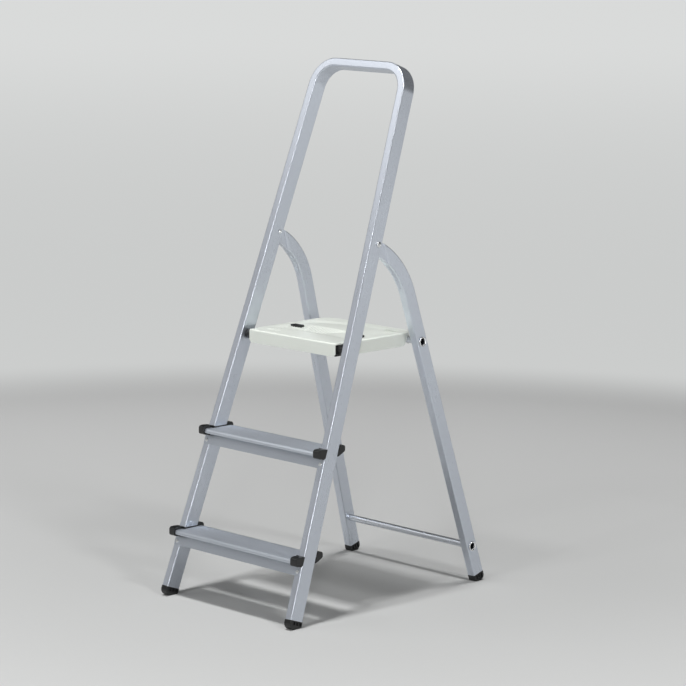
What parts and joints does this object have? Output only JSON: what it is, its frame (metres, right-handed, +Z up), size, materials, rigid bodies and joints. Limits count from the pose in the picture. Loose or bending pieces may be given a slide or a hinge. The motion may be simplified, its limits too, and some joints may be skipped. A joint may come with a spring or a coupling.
{
  "type": "step stool",
  "caption": "Folding aluminium step stool with ribbed treads, a white steel platform, a rear frame that folds in and a high bent hand rail.",
  "frame": {"origin": "on the floor, in the middle of the bounding box, with the stool unfolded and standing", "axes": "+Z up, towards the hand rail; the treads face -Y and the rear frame is on the +Y side; +X is to the right of someone who climbs it"},
  "size_m": [0.4436, 0.6682, 1.2674],
  "materials": {
    "anodised_aluminium": "satin",
    "tread_aluminium": "satin, finely ribbed",
    "rivet_steel": "bright",
    "black_plastic": "matte, moulded",
    "nylon": "matte",
    "white_enamel": "powder coat with a fine grain"
  },
  "bodies": {
    "front_frame": {"front_frame_tube": "anodised_aluminium", "lower_tread": "tread_aluminium", "upper_tread": "tread_aluminium", "hinge_rivet_left": "rivet_steel", "hinge_spacer_left": "rivet_steel", "hinge_washer_outer_left": "nylon", "hinge_washer_inner_left": "nylon", "front_foot_left": "black_plastic", "lower_tread_rivet_left": "rivet_steel", "lower_tread_cap_left": "black_plastic", "upper_tread_rivet_left": "rivet_steel", "upper_tread_cap_left": "black_plastic", "hinge_rivet_right": "rivet_steel", "hinge_spacer_right": "rivet_steel", "hinge_washer_outer_right": "nylon", "hinge_washer_inner_right": "nylon", "front_foot_right": "black_plastic", "lower_tread_rivet_right": "rivet_steel", "lower_tread_cap_right": "black_plastic", "upper_tread_rivet_right": "rivet_steel", "upper_tread_cap_right": "black_plastic"},
    "rear_frame": {"lower_cross_tube": "anodised_aluminium", "upper_cross_tube": "anodised_aluminium", "rear_leg_left": "anodised_aluminium", "rear_leg_right": "anodised_aluminium", "rear_foot_left": "black_plastic", "rear_foot_right": "black_plastic"},
    "platform": {"platform_tray": "white_enamel", "platform_pivot_block_left": "black_plastic", "platform_pivot_block_right": "black_plastic", "platform_block_rivet_left": "rivet_steel", "platform_block_rivet_right": "rivet_steel", "platform_plug_left": "black_plastic", "platform_plug_right": "black_plastic"}
  },
  "joints": [
    {"name": "rear_frame_fold", "type": "hinge", "parent": "front_frame", "child": "rear_frame", "pos_m": [0, -0.0044, 0.8533], "axis": [-1, 0, 0], "range_deg": [0, 36.6]},
    {"name": "platform_lift", "type": "hinge", "parent": "front_frame", "child": "platform", "pos_m": [0, -0.0988, 0.6138], "axis": [1, 0, 0], "range_deg": [0, 70.5]}
  ],
  "couplings": [
    {"joint": "platform_lift", "follows": "rear_frame_fold", "ratio": 1.9235}
  ]
}
